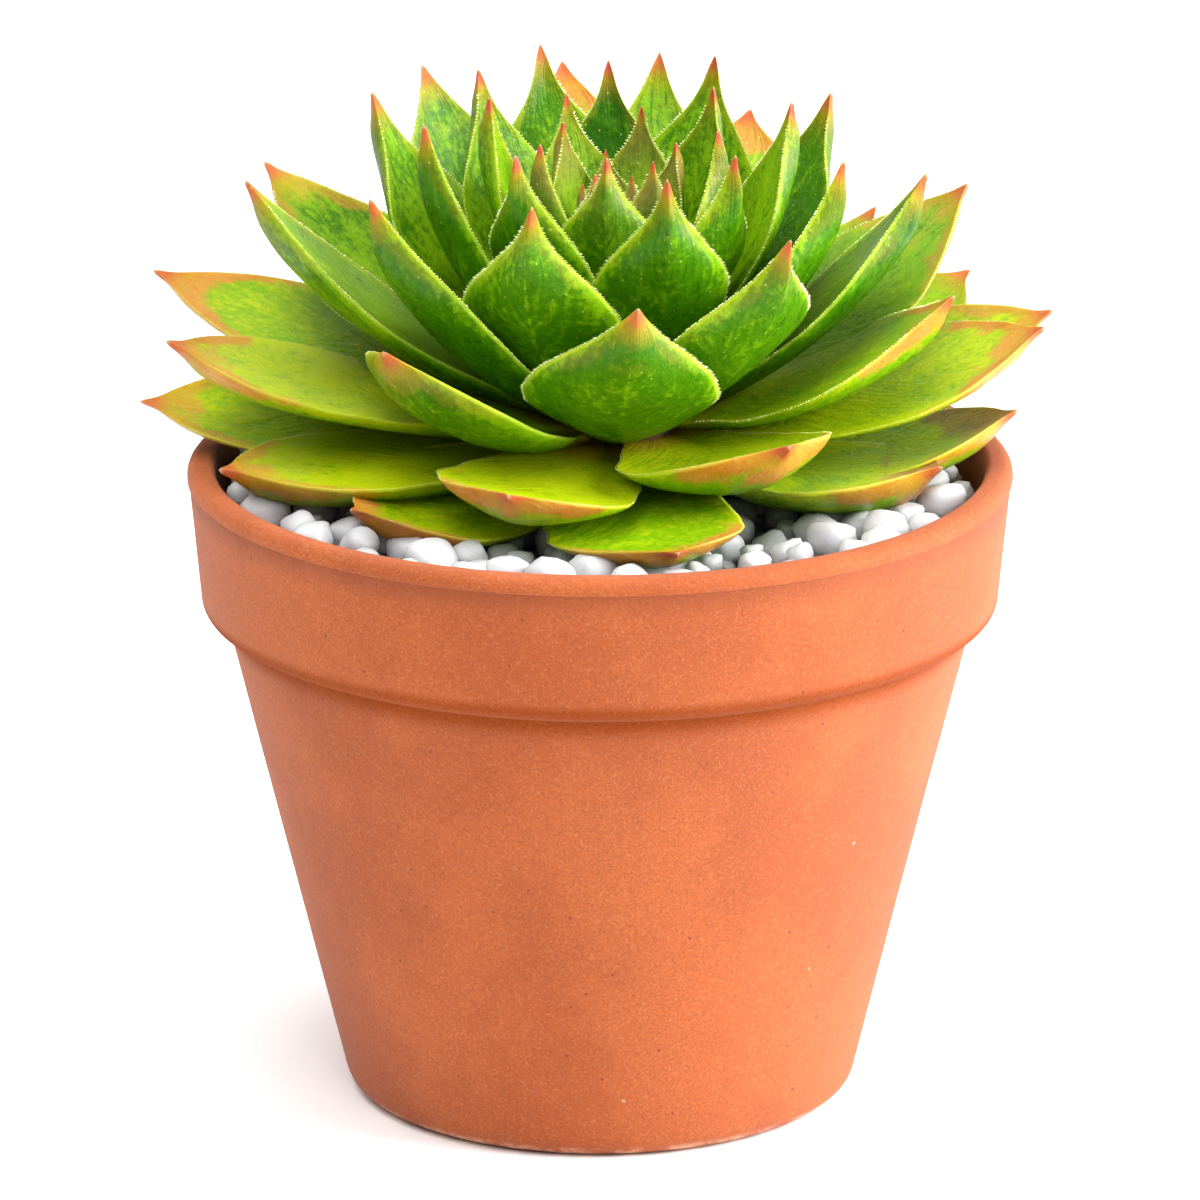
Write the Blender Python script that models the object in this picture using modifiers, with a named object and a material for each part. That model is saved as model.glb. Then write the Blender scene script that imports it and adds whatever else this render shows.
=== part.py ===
"""Potted silver king houseleek: a turned clay pot with soil, white pebbles and one rosette.

Metres, +Z up. The origin is the centre of the pot's foot, on the surface that the pot stands on.
The front, as photographed, faces -Y.
"""

import math
import random

import bmesh
import bpy
from mathutils import Matrix, Vector
from mathutils.bvhtree import BVHTree

MM = 0.001
COLLECTION = "potted_silver_king_houseleek"
JOINED = "joined_pieces"

# Pot
POT_HEIGHT = 102.6 * MM
RIM_RADIUS = 65.0 * MM
RIM_WALL = 4.4 * MM
COLLAR_FOOT_RADIUS = 62.9 * MM
COLLAR_FOOT_Z = 81.4 * MM
STEP_RADIUS = 59.0 * MM
STEP_Z = 78.2 * MM
FOOT_RADIUS = 40.7 * MM
FOOT_ROUNDING = 4.2 * MM
COLLAR_ROUNDING = 2.4 * MM
LIP_ROUNDING = 1.9 * MM
INNER_LIP_ROUNDING = 1.2 * MM
FLOOR = 6.0 * MM
FLOOR_BEVEL = 3.0 * MM
LEDGE_RADIUS = 59.4 * MM
LEDGE_Z = 82.2 * MM
DRAIN_RADIUS = 6.0 * MM
POT_STEPS = 52
TURNED_SMOOTH_ANGLE = 35
LEAF_SMOOTH_ANGLE = 50

# Air between a piece and its neighbour
GAP = 0.3 * MM

# Soil and pebbles
SOIL_TOP = 89.0 * MM
SOIL_STEPS = 40
PEBBLE_BED_TOP = 92.4 * MM
BED_RISE = 3.0 * MM
BED_RISE_FROM = 32.0 * MM
BED_RISE_TO = 52.0 * MM
PEBBLE_RADIUS = 4.5 * MM
PEBBLE_COUNT = 118
PEBBLE_INNER_RADIUS = 14.0 * MM
PEBBLE_LENGTH = (0.85, 1.2)
PEBBLE_WIDTH = (0.8, 1.1)
PEBBLE_THICKNESS = (0.65, 0.85)
PEBBLE_RISE = (1.2 * MM, 2.1 * MM)
PEBBLE_TILT = 0.5
PEBBLE_LOWEST = 93.5 * MM
FEELERS = 8
FEELER_SHARES = (0.0, 0.5, 1.0)
PEBBLE_SEED = 7

# Rosette: a golden-angle spiral, counted from the oldest and lowest leaf to the heart
LEAF_COUNT = 60
GOLDEN_ANGLE = 137.5
FIRST_AZIMUTH = 24.0
ROSETTE_X = 3.0 * MM
ROSETTE_Y = 7.0 * MM
STEM_RADIUS = 7.5 * MM
STEM_SIDES = 16
STEM_FOOT_Z = 80.0 * MM
# The stem's crown: radius, and the age of the leaves that root at that height
CROWN = ((3.0 * MM, 1.0), (8.5 * MM, 0.66), (12.0 * MM, 0.2))
CROWN_POINT = 2.0 * MM
NECK = 4.0 * MM
REACH = (61.5, 59.0, 31.5, 5.7)
TIP_HEIGHT = (100.0, 138.0, 157.0, 146.0)
ROOT_HEIGHT = (104.5, 108.5, 112.5, 131.0)
ROOT_RADIUS = (8.0, 7.0, 3.5, 0.5)
LEAF_WIDTH = (30.0, 32.0, 23.5, 7.5)
LEAF_DEPTH = (4.4, 5.2, 4.6, 2.0)
LEAF_BEND = (3.0, 11.0, 16.0, 8.0)
LEAN = 0.085
FACE_LEAN = 6.0
ROLL_SPREAD = 4.0
SPINE_HANDLE = 0.36
POLE_RISE = -0.4
OLD_STATIONS = 8
YOUNG_STATIONS = 6
YOUNG_FROM = 0.6
SHAPE_TURNS = (0.2, 0.55)
TIP_CROWDING = 1.3
LEAF_SEED = 3

# Half width along a leaf, as a fraction of the widest, from root to tip, for old and young leaves
OLD_OUTLINE = ((0.0, 0.26), (0.15, 0.46), (0.3, 0.72), (0.45, 0.93), (0.6, 1.0), (0.7, 0.98),
               (0.79, 0.86), (0.87, 0.61), (0.925, 0.34), (0.96, 0.13), (1.0, 0.0))
YOUNG_OUTLINE = ((0.0, 0.30), (0.15, 0.50), (0.3, 0.75), (0.45, 0.94), (0.58, 1.0), (0.68, 0.85),
                 (0.77, 0.56), (0.85, 0.28), (0.91, 0.14), (0.96, 0.07), (1.0, 0.0))
# Depth along a leaf, as a fraction of the deepest
FULLNESS = ((0.0, 0.70), (0.3, 0.95), (0.6, 1.0), (0.8, 0.93), (0.9, 0.68), (0.96, 0.30), (1.0, 0.1))
# Section of a leaf: across as a fraction of the half width, up as a fraction of the depth
SECTION = ((1.0, 0.0), (0.0, -0.14), (-1.0, 0.0), (-0.62, -0.60), (0.0, -1.0), (0.62, -0.60))

# Leaves that the photograph shows off the rule: turn in degrees, further out and higher in mm
SHIFTS = {
    0: (-34, 2, 13), 1: (-22, -4, 6), 3: (1, -7, 3), 4: (8, 3, 0), 6: (-1, -1, -3), 7: (38, 10.5, -5),
    8: (3, 4, 5), 9: (27, -5, -2), 10: (0, -8, 0), 11: (-11, -13, -3), 12: (16, 7.5, 0),
    13: (-4, 3, -8), 14: (-33, -11, 4), 16: (10, 5, -7), 17: (-42, 15.5, -9.5), 18: (1, 2, 2),
    19: (-150, 0, -28), 20: (2, 3, 2), 22: (-79, 5, -22), 23: (-2, 0, 4), 24: (17, 1, -10),
    25: (2, 6, 4), 26: (-3, 8, -20), 27: (2, -3, -5), 28: (-2, -2, 4), 29: (-5, 1, 0),
    30: (-4, 1, 2), 32: (0, 4, -2), 33: (-3, -1, 3), 34: (-1, -2, 0), 35: (-2, 0, 0), 36: (-4, 0, 1),
    37: (-1, 3, -1), 38: (-2, -2, 2), 41: (-4, -1, 1), 45: (0, 2, -1), 46: (-4, -1, 2),
    49: (-3, -2, 0), 54: (-5, -1, 2), 58: (-33, -2, 1),
}
# Leaves of a build of their own: roll in degrees, width and depth as shares of the rule's,
# then how far the middle stands sideways and below in mm
BUILDS = {
    0: (6, 1.0, 1.3, 0, 4), 1: (4, 0.8, 1.3, -3, 3), 3: (6, 1.1, 1.6, 0, 1.5), 4: (-5, 0.95, 1.5, -2, -0.8),
    6: (0, 0.95, 1.0, 2.5, 1.6), 7: (2, 0.92, 1.0, 2, -0.5), 9: (5, 0.96, 1.15, 1.5, 1.5),
    11: (0, 1.0, 1.3, 1.5, 0.7), 12: (-4, 0.9, 1.2, 0, -1), 14: (0, 1.0, 1.2, 0, 1),
    16: (-3, 1.12, 1.0, 0, 0), 17: (0, 0.85, 1.0, 0, -3), 27: (3, 1.03, 1.0, 1.5, 2.2),
    35: (-6, 0.96, 1.0, 2.8, 0.5), 40: (0, 0.94, 1.0, -1, 0),
}


def cubic(values, t):
    """The cubic through four values at t = 0, 1/3, 2/3 and 1."""
    a, b, c, d = values
    knots = (0.0, 1 / 3, 2 / 3, 1.0)
    total = 0.0
    for i, value in enumerate((a, b, c, d)):
        weight = 1.0
        for j, knot in enumerate(knots):
            if i != j:
                weight *= (t - knot) / (knots[i] - knot)
        total += value * weight
    return total


def along(points, t):
    """A smooth curve through (place, value) points, read at t."""
    last = len(points) - 1
    for i in range(last):
        if t <= points[i + 1][0] or i == last - 1:
            break
    (x0, y0), (x1, y1) = points[i], points[i + 1]
    before = points[max(i - 1, 0)]
    after = points[min(i + 2, last)]
    slope0 = (y1 - before[1]) / (x1 - before[0])
    slope1 = (after[1] - y0) / (after[0] - x0)
    span = x1 - x0
    u = (t - x0) / span
    return ((1 + 2 * u) * (1 - u) ** 2 * y0 + u * (1 - u) ** 2 * span * slope0
            + u * u * (3 - 2 * u) * y1 + u * u * (u - 1) * span * slope1)


def new_material(name, colour, roughness):
    material = bpy.data.materials.new(name)
    material.use_nodes = True
    shader = material.node_tree.nodes["Principled BSDF"]
    shader.inputs["Base Color"].default_value = (*colour, 1.0)
    shader.inputs["Roughness"].default_value = roughness
    shader.inputs["Metallic"].default_value = 0.0
    return material


def add_object(name, mesh, collection, material=None):
    obj = bpy.data.objects.new(name, mesh)
    collection.objects.link(obj)
    if material:
        mesh.materials.append(material)
    return obj


def apply_modifiers(obj):
    """The object's mesh becomes its evaluated mesh, and its modifiers go."""
    graph = bpy.context.evaluated_depsgraph_get()
    mesh = bpy.data.meshes.new_from_object(obj.evaluated_get(graph))
    obj.modifiers.clear()
    obj.data = mesh


def arc(centre_r, centre_z, radius, start, end, count):
    """Points of an arc in the (r, z) plane, angles in degrees from +r."""
    points = []
    for i in range(count + 1):
        angle = math.radians(start + (end - start) * i / count)
        points.append((centre_r + radius * math.cos(angle), centre_z + radius * math.sin(angle)))
    return points


def turned(name, profile, steps, closed, collection, material):
    """A profile in the XZ plane turned once round Z."""
    mesh = bpy.data.meshes.new(name)
    edges = [(i, i + 1) for i in range(len(profile) - 1)]
    if closed:
        edges.append((len(profile) - 1, 0))
    mesh.from_pydata([(r, 0.0, z) for r, z in profile], edges, [])
    obj = add_object(name, mesh, collection, material)
    screw = obj.modifiers.new("Turn", "SCREW")
    screw.steps = steps
    screw.render_steps = steps
    screw.use_merge_vertices = True
    screw.merge_threshold = 0.00001
    apply_modifiers(obj)
    obj.data.shade_smooth()
    obj.data.set_sharp_from_angle(angle=math.radians(TURNED_SMOOTH_ANGLE))
    return obj


def wall_radius(z):
    """The pot's inner wall above its ledge."""
    top = RIM_RADIUS - RIM_WALL
    return LEDGE_RADIUS + (top - LEDGE_RADIUS) * (z - STEP_Z) / (POT_HEIGHT - STEP_Z)


def body_inner_radius(z):
    """The pot's inner wall below its ledge."""
    upper = STEP_RADIUS - RIM_WALL
    lower = FOOT_RADIUS - RIM_WALL
    return lower + (upper - lower) * (z - FLOOR) / (STEP_Z - FLOOR)


def make_pot(collection):
    outer_lip = arc(RIM_RADIUS - LIP_ROUNDING, POT_HEIGHT - LIP_ROUNDING, LIP_ROUNDING, 90, 0, 3)
    collar_foot = arc(COLLAR_FOOT_RADIUS - COLLAR_ROUNDING, COLLAR_FOOT_Z, COLLAR_ROUNDING, 0, -75, 3)
    foot = arc(FOOT_RADIUS - FOOT_ROUNDING, FOOT_ROUNDING, FOOT_ROUNDING, -10, -90, 3)
    inner_lip = arc(RIM_RADIUS - RIM_WALL + INNER_LIP_ROUNDING, POT_HEIGHT - INNER_LIP_ROUNDING,
                    INNER_LIP_ROUNDING, 180, 90, 2)
    profile = [
        *outer_lip,
        *collar_foot,
        (STEP_RADIUS, STEP_Z),
        *foot,
        (DRAIN_RADIUS, 0.0),
        (DRAIN_RADIUS, FLOOR),
        (body_inner_radius(FLOOR) - FLOOR_BEVEL, FLOOR),
        (body_inner_radius(FLOOR + FLOOR_BEVEL), FLOOR + FLOOR_BEVEL),
        (STEP_RADIUS - RIM_WALL, STEP_Z),
        (LEDGE_RADIUS, LEDGE_Z),
        *inner_lip,
    ]
    clay = new_material("terracotta", (0.72, 0.27, 0.13), 0.85)
    return turned("pot", profile, POT_STEPS, True, collection, clay)


def cut_stem_hole(obj):
    """A plain round hole for the stem, from the stem's foot up."""
    depth = PEBBLE_BED_TOP + PEBBLE_RADIUS + BED_RISE - (STEM_FOOT_Z - GAP)
    bpy.ops.mesh.primitive_cylinder_add(
        vertices=STEM_SIDES,
        radius=STEM_RADIUS + 2 * GAP,
        depth=depth,
        location=(ROSETTE_X, ROSETTE_Y, STEM_FOOT_Z - GAP + depth / 2),
    )
    cutter = bpy.context.active_object
    cutter.name = "stem_hole"
    cutter.display_type = "WIRE"
    cut = obj.modifiers.new("Stem hole", "BOOLEAN")
    cut.operation = "DIFFERENCE"
    cut.object = cutter
    apply_modifiers(obj)
    bpy.data.objects.remove(cutter)


def make_soil(collection):
    profile = [
        (0.0, SOIL_TOP),
        (wall_radius(SOIL_TOP) - GAP, SOIL_TOP),
        (LEDGE_RADIUS - GAP, LEDGE_Z + GAP / 3),
        (STEP_RADIUS - RIM_WALL - GAP, STEP_Z + GAP),
        (body_inner_radius(FLOOR + FLOOR_BEVEL) - GAP, FLOOR + FLOOR_BEVEL + GAP),
        (body_inner_radius(FLOOR) - FLOOR_BEVEL - GAP, FLOOR + GAP),
        (0.0, FLOOR + GAP),
    ]
    earth = new_material("potting_soil", (0.045, 0.028, 0.018), 0.95)
    soil = turned("soil", profile, SOIL_STEPS, False, collection, earth)
    cut_stem_hole(soil)
    return soil


def make_pebble(draw, place, collection):
    """A rounded stone: a small icosphere, flattened and turned at random."""
    stone = bmesh.new()
    bmesh.ops.create_icosphere(stone, subdivisions=1, radius=PEBBLE_RADIUS)
    size = [draw.uniform(*limits) for limits in (PEBBLE_LENGTH, PEBBLE_WIDTH, PEBBLE_THICKNESS)]
    spin = Matrix.Rotation(draw.uniform(0, math.tau), 4, "Z")
    lean = Matrix.Rotation(draw.uniform(-PEBBLE_TILT, PEBBLE_TILT), 4, "X")
    matrix = Matrix.Translation(place) @ spin @ lean @ Matrix.Diagonal((*size, 1.0))
    bmesh.ops.transform(stone, matrix=matrix, verts=stone.verts)
    mesh = bpy.data.meshes.new("pebble")
    stone.to_mesh(mesh)
    stone.free()
    return add_object("pebble", mesh, collection)


def union(obj, collection):
    """Joins a collection's objects to obj in one Boolean, then removes them."""
    join = obj.modifiers.new("Join", "BOOLEAN")
    join.operation = "UNION"
    join.operand_type = "COLLECTION"
    join.collection = collection
    apply_modifiers(obj)
    for piece in list(collection.objects):
        bpy.data.objects.remove(piece)


def bed_height(radius):
    """Top of the bed that the stones stand in: it rises towards the rim."""
    share = (radius - BED_RISE_FROM) / (BED_RISE_TO - BED_RISE_FROM)
    return PEBBLE_BED_TOP + BED_RISE * min(1.0, max(0.0, share))


def headroom(leaves, place, reach):
    """Height of the lowest leaf over a stone."""
    lowest = math.inf
    for i in range(FEELERS):
        angle = math.tau * i / FEELERS
        for share in FEELER_SHARES:
            out = Vector((math.cos(angle), math.sin(angle), 0.0)) * share * reach
            foot = Vector((place.x, place.y, SOIL_TOP)) + out
            hit = leaves.ray_cast(foot, Vector((0, 0, 1)))[0]
            if hit:
                lowest = min(lowest, hit.z)
    return lowest


def make_pebbles(collection, cutters, rosette):
    """The top dressing: a bed with stones standing out of it, lower under the leaves."""
    bottom = SOIL_TOP + GAP
    edge = bed_height(RIM_RADIUS)
    profile = [
        (0.0, PEBBLE_BED_TOP),
        (BED_RISE_FROM, PEBBLE_BED_TOP),
        (BED_RISE_TO, edge),
        (wall_radius(edge) - GAP, edge),
        (wall_radius(bottom) - GAP, bottom),
        (0.0, bottom),
    ]
    stone = new_material("white_stone", (0.80, 0.80, 0.78), 0.6)
    bed = turned("pebbles", profile, SOIL_STEPS, False, collection, stone)
    cut_stem_hole(bed)
    shape = bmesh.new()
    shape.from_mesh(rosette.data)
    leaves = BVHTree.FromBMesh(shape)
    shape.free()
    draw = random.Random(PEBBLE_SEED)
    half_length = PEBBLE_LENGTH[1] * PEBBLE_RADIUS
    furthest = wall_radius(PEBBLE_BED_TOP) - half_length - GAP
    for i in range(PEBBLE_COUNT):
        share = (i + 0.5) / PEBBLE_COUNT
        radius = math.sqrt(PEBBLE_INNER_RADIUS ** 2 + share * (furthest ** 2 - PEBBLE_INNER_RADIUS ** 2))
        angle = math.radians(GOLDEN_ANGLE * i)
        height = bed_height(radius) + draw.uniform(*PEBBLE_RISE)
        place = Vector((radius * math.cos(angle), radius * math.sin(angle), height))
        place.z = min(height, headroom(leaves, place, half_length) - PEBBLE_RADIUS)
        from_stem = math.hypot(place.x - ROSETTE_X, place.y - ROSETTE_Y)
        if from_stem > STEM_RADIUS + half_length + GAP and place.z > PEBBLE_LOWEST:
            make_pebble(draw, place, cutters)
    union(bed, cutters)
    return bed


def leaf_place(index):
    """Azimuth, reach, tip height and root height of a leaf, in radians and metres."""
    t = index / (LEAF_COUNT - 1)
    turn, out, up = SHIFTS.get(index, (0, 0, 0))
    azimuth = math.radians(FIRST_AZIMUTH - GOLDEN_ANGLE * index + turn)
    reach = (cubic(REACH, t) + out) * MM
    height = (cubic(TIP_HEIGHT, t) + up) * MM + LEAN * reach * math.sin(azimuth)
    return azimuth, reach, height, cubic(ROOT_HEIGHT, t) * MM


def leaf_spine(reach, height, root_r, root_z, bend, s):
    """A point of a leaf's centre line in its own upright plane, and its direction there."""
    start = Vector((root_r, root_z))
    end = Vector((reach, height))
    chord = end - start
    slope = math.atan2(chord.y, chord.x)
    handle = chord.length * SPINE_HANDLE
    first = start + handle * Vector((math.cos(slope - bend), math.sin(slope - bend)))
    second = end - handle * Vector((math.cos(slope + bend), math.sin(slope + bend)))
    r = 1 - s
    point = r ** 3 * start + 3 * r * r * s * first + 3 * r * s * s * second + s ** 3 * end
    tangent = r * r * (first - start) + 2 * r * s * (second - first) + s * s * (end - second)
    return point, tangent.normalized()


def outline(s, t):
    """Half width of a leaf of age t at s, as a fraction of its widest."""
    first, last = SHAPE_TURNS
    young = min(1.0, max(0.0, (t - first) / (last - first)))
    return (1 - young) * along(OLD_OUTLINE, s) + young * along(YOUNG_OUTLINE, s)


def make_leaf(index, draw, collection):
    """A thick pointed leaf: a sphere drawn out along the spine, flat above and keeled below."""
    t = index / (LEAF_COUNT - 1)
    azimuth, reach, height, root_z = leaf_place(index)
    own_roll, wider, deeper, sway, sag = BUILDS.get(index, (0, 1, 1, 0, 0))
    half_width = cubic(LEAF_WIDTH, t) * wider * MM / 2
    depth = cubic(LEAF_DEPTH, t) * deeper * MM
    bend = math.radians(cubic(LEAF_BEND, t))
    root_r = cubic(ROOT_RADIUS, t) * MM
    roll = math.radians(own_roll + draw.uniform(-ROLL_SPREAD, ROLL_SPREAD) - FACE_LEAN * math.cos(azimuth))
    leaf = bmesh.new()
    sides = len(SECTION)
    stations = OLD_STATIONS if t < YOUNG_FROM else YOUNG_STATIONS
    bmesh.ops.create_uvsphere(leaf, u_segments=sides, v_segments=stations, radius=1.0)
    turn = Matrix.Rotation(azimuth, 3, "Z")
    centre = Vector((ROSETTE_X, ROSETTE_Y, 0.0))
    for vert in leaf.verts:
        ring = math.acos(max(-1.0, min(1.0, -vert.co.z))) / math.pi
        s = 1 - (1 - ring) ** TIP_CROWDING
        corner = round(math.atan2(vert.co.y, vert.co.x) / math.tau * sides) % sides
        at_pole = ring < 0.001 or ring > 0.999
        side, rise = (0.0, POLE_RISE) if at_pole else SECTION[corner]
        bow = math.sin(math.pi * s) * MM
        across = side * half_width * outline(s, t) + sway * bow
        lift = rise * depth * along(FULLNESS, s) - sag * bow
        point, tangent = leaf_spine(reach, height, root_r, root_z, bend, s)
        normal = Vector((-tangent.y, tangent.x))
        x = across * math.cos(roll) - lift * math.sin(roll)
        n = across * math.sin(roll) + lift * math.cos(roll)
        flat = point + normal * n
        vert.co = turn @ Vector((flat.x, -x, flat.y)) + centre
    if leaf.calc_volume(signed=True) < 0:
        bmesh.ops.reverse_faces(leaf, faces=leaf.faces)
    mesh = bpy.data.meshes.new("leaf")
    leaf.to_mesh(mesh)
    leaf.free()
    return add_object("leaf", mesh, collection)


def make_rosette(collection, cutters):
    """Stem and leaves, grown as one."""
    profile = [
        (0.0, cubic(ROOT_HEIGHT, 1.0) * MM + CROWN_POINT),
        *((radius, cubic(ROOT_HEIGHT, t) * MM) for radius, t in CROWN),
        (STEM_RADIUS, cubic(ROOT_HEIGHT, 0.0) * MM - NECK),
        (STEM_RADIUS, STEM_FOOT_Z),
        (0.0, STEM_FOOT_Z),
    ]
    green = new_material("leaf_green", (0.12, 0.30, 0.03), 0.45)
    stem = turned("rosette", profile, STEM_SIDES, False, collection, green)
    shift = Matrix.Translation((ROSETTE_X, ROSETTE_Y, 0.0))
    stem.data.transform(shift)
    draw = random.Random(LEAF_SEED)
    for index in range(LEAF_COUNT):
        make_leaf(index, draw, cutters)
    union(stem, cutters)
    stem.data.shade_smooth()
    stem.data.set_sharp_from_angle(angle=math.radians(LEAF_SMOOTH_ANGLE))
    return stem


def main():
    for obj in list(bpy.data.objects):
        bpy.data.objects.remove(obj, do_unlink=True)
    collection = bpy.data.collections.new(COLLECTION)
    cutters = bpy.data.collections.new(JOINED)
    bpy.context.scene.collection.children.link(collection)
    bpy.context.scene.collection.children.link(cutters)
    make_pot(collection)
    make_soil(collection)
    rosette = make_rosette(collection, cutters)
    make_pebbles(collection, cutters, rosette)
    cutters.hide_render = True


main()
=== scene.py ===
"""Looks of the potted silver king houseleek: clay pot, white stones and a spiral of thick leaves.

Metres, +Z up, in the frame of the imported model. The photographed front faces -Y.
"""

import math
import random

import bmesh
import bpy
import numpy as np
from mathutils import Matrix, Vector, noise


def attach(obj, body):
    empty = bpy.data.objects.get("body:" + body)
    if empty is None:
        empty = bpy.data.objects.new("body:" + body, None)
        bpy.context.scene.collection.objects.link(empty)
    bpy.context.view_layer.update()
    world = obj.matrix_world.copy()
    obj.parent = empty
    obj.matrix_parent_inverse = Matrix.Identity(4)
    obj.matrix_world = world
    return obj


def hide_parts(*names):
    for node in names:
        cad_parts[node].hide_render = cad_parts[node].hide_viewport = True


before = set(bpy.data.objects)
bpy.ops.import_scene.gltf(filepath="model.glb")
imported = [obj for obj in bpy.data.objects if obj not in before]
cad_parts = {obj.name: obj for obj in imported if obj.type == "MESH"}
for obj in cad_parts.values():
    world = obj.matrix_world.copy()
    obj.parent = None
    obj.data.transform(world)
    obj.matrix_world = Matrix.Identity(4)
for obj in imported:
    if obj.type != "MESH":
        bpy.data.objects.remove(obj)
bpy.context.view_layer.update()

MM = 0.001
GOLDEN_ANGLE = 137.5

# Studio sky: the way it brightens, where that starts, and its strength at the dark and bright end
SKY_RISE = (0.50, 0.25, 0.83)
SKY_DARK_FROM = -0.6
SKY_STRENGTH = (0.16, 0.80)

# Studio lights: place, the point each one faces, the side of its square and its watts
STUDIO_LIGHTS = {
    "key_light": ((1.15, -0.30, 0.65), (0.0, 0.0, 0.08), 0.8, 33.0),
    "side_light": ((1.10, 0.20, 0.20), (0.0, 0.0, 0.06), 0.5, 9.0),
    "left_light": ((-0.90, 0.45, 1.10), (0.0, 0.0, 0.1), 0.8, 5.0),
    "front_light": ((-0.25, -0.90, 1.30), (0.0, 0.0, 0.1), 0.9, 13.0),
    "top_light": ((-0.12, -0.10, 1.30), (0.0, 0.0, 0.1), 0.7, 9.0),
}
FLOOR_SIDE = 8.0
FLOOR_WHITE = (0.90, 0.90, 0.90)

# Camera, worked out from the pot's rim and foot in the photograph
CAMERA_PLACE = (0.0, -1.7600, 0.6272)
CAMERA_AIM = (0.0, 0.0, 0.07943)
CAMERA_LENS = 350.0
CAMERA_SENSOR = 36.0

# Pot, as in the solid
POT_HEIGHT = 102.6 * MM
RIM_RADIUS = 65.0 * MM
RIM_WALL = 4.4 * MM
COLLAR_FOOT_RADIUS = 62.9 * MM
COLLAR_FOOT_Z = 81.4 * MM
STEP_RADIUS = 59.0 * MM
STEP_Z = 78.2 * MM
FOOT_RADIUS = 40.7 * MM
FOOT_ROUNDING = 4.2 * MM
COLLAR_ROUNDING = 2.4 * MM
LIP_ROUNDING = 1.9 * MM
INNER_LIP_ROUNDING = 1.2 * MM
LIP_BAND = 2.6 * MM
LIP_STEP = 0.3 * MM
LIP_STEP_RISE = 0.25 * MM
FLOOR = 6.0 * MM
FLOOR_BEVEL = 3.0 * MM
LEDGE_RADIUS = 59.4 * MM
LEDGE_Z = 82.2 * MM
DRAIN_RADIUS = 6.0 * MM
DRAIN_BEVEL = 0.5 * MM
INNER_FOOT_RADIUS = FOOT_RADIUS - RIM_WALL + 0.6 * MM
MIDDLE_RING = 22.0 * MM
POT_SIDES = 160

# Wear of the pot: a slow wave round and up the wall, fine wear, and more of it on the lip
WAVES = (22, 22, 14)
WAVE_DEPTH = 0.16 * MM
WEAR_GRAIN = 210
WEAR_DEPTH = 0.07 * MM
WALL_WEAR = 0.3
LIP_WEAR = 0.8
WORN_LIP = 3.0 * MM
FLAT_FOOT = 0.5 * MM
SMOOTH_ANGLE = math.radians(40)

# Stones of the top dressing: a layer is a count, the smallest and largest radius, and its height
SOIL_TOP = 89.0 * MM
STONE_LAYERS = ((300, 2.2 * MM, 3.2 * MM, 91.6 * MM), (190, 2.4 * MM, 5.0 * MM, 94.9 * MM),
                (240, 3.0 * MM, 3.8 * MM, 90.0 * MM))
BED_RISE = 3.0 * MM
BED_RISE_FROM = 32.0 * MM
BED_RISE_TO = 52.0 * MM
# Forms to copy: how near a ball the first is, how much nearer the next ones, and how far knocked in
STONE_FORMS = 7
FIRST_ROUNDNESS = 0.72
MORE_ROUNDNESS = 0.04
STONE_KNOCKS = 0.20
# Draws: above 1, more of the stones are small; then the limits of a stone's length, width and
# thickness, its tilt, how far off its layer it lies, and the middle and spread of its tint
STONE_SEED = 21
SMALL_STONES = 1.3
STONE_STRETCH = ((0.95, 1.15), (0.8, 1.0), (0.68, 0.9))
STONE_TILT = 0.5
STONE_STAGGER = 0.6 * MM
STONE_TINT = (0.72, 0.24)
# How far a stone stands out of its layer, by its radius
STONE_STANDS = 0.25
# How stones are pushed apart: rounds, how near two may come, the share of a push, air at the wall
SPREAD_ROUNDS = 120
TOUCH = 0.93
PUSH = 0.35
WALL_AIR = 0.4 * MM

# Rosette, as in the solid: a golden-angle spiral from the lowest leaf to the heart
LEAF_COUNT = 60
OUTER_LEAVES = 30
FIRST_AZIMUTH = 24.0
ROSETTE_X = 3.0 * MM
ROSETTE_Y = 7.0 * MM
STEM_RADIUS = 7.5 * MM
# The stem's lower end, hidden below the stones
STEM_CUT_Z = 87.0 * MM
STEM_CUT_SHARE = 0.6
STEM_CUT_BEVEL = 1.0 * MM
STEM_SIDES = 28
# The stem's crown: radius, and the age of the leaves that root at that height
CROWN = ((3.0 * MM, 1.0), (8.5 * MM, 0.66), (12.0 * MM, 0.2))
CROWN_POINT = 2.0 * MM
CROWN_POINT_RADIUS = 0.3 * MM
NECK = 4.0 * MM
# The curves that every leaf is read from, oldest leaf to youngest: mm, and degrees for the bend
REACH = (61.5, 59.0, 31.5, 5.7)
TIP_HEIGHT = (100.0, 138.0, 157.0, 146.0)
ROOT_HEIGHT = (104.5, 108.5, 112.5, 131.0)
ROOT_RADIUS = (8.0, 7.0, 3.5, 0.5)
LEAF_WIDTH = (30.0, 32.0, 23.5, 7.5)
LEAF_DEPTH = (4.4, 5.2, 4.6, 2.0)
LEAF_BEND = (3.0, 11.0, 16.0, 8.0)
# How much higher the leaves at the back stand, and how the leaves roll, in degrees
LEAN = 0.085
FACE_LEAN = 6.0
ROLL_SPREAD = 4.0
LEAF_SEED = 3
# Ages between which the old outline turns into the young one, and the spine's handles by its chord
SHAPE_TURNS = (0.2, 0.55)
SPINE_HANDLE = 0.36
# A leaf's mesh, and its cross-section: hollow above and full below
LEAF_SIDES = 26
LEAF_STATIONS = 42
TIP_CROWDING = 1.3
POLE = 0.001
POLE_RISE = -0.4
DISH = 0.14
BELLY = (1.35, 0.68)
UNDER_FROM = -0.02
MARGIN_WAVE = 0.35 * MM
MARGIN_UNEVEN = 0.05

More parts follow.
